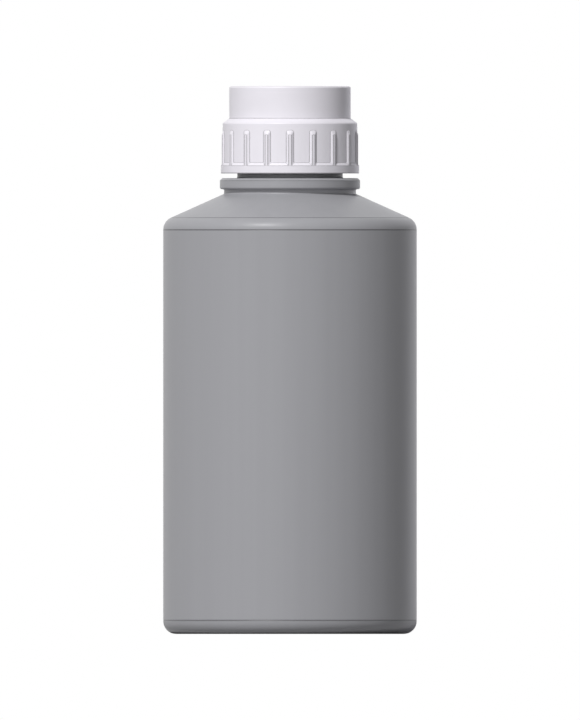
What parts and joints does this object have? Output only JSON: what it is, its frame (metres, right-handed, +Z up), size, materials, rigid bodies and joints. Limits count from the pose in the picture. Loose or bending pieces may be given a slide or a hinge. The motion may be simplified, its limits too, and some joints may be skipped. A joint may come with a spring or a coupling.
{
  "type": "centrifuge bottle",
  "caption": "Straight-walled plastic bottle with a conical shoulder, a flange under its neck and a ribbed screw cap over a ringed sealing plug, for spinning liquids in a centrifuge.",
  "frame": {"origin": "centre of the standing face, on the bottle's axis", "axes": "+Z up the bottle's axis, from the base to the cap; one rib of the cap faces -Y"},
  "size_m": [0.098, 0.098, 0.212],
  "materials": {
    "bottle_plastic": "satin blow-moulded polypropylene, grey",
    "cap_plastic": "satin injection-moulded polypropylene, white",
    "plug_plastic": "satin injection-moulded polypropylene, natural white",
    "ring_rubber": "matt moulded rubber, black"
  },
  "bodies": {
    "bottle": {"bottle": "bottle_plastic"},
    "plug": {"sealing_plug": "plug_plastic", "o_ring": "ring_rubber"},
    "cap": {"screw_cap": "cap_plastic"}
  },
  "joints": [
    {"name": "closure_lift", "type": "slide", "parent": "bottle", "child": "plug", "axis": [0, 0, 1], "range_m": [0, 0.028]},
    {"name": "cap_turn", "type": "hinge", "parent": "plug", "child": "cap", "pos_m": [0, 0, 0.1782], "axis": [0, 0, 1], "range_deg": [0, 2520]}
  ],
  "couplings": [
    {"joint": "closure_lift", "follows": "cap_turn", "m_per_rad": 0.00063662}
  ]
}
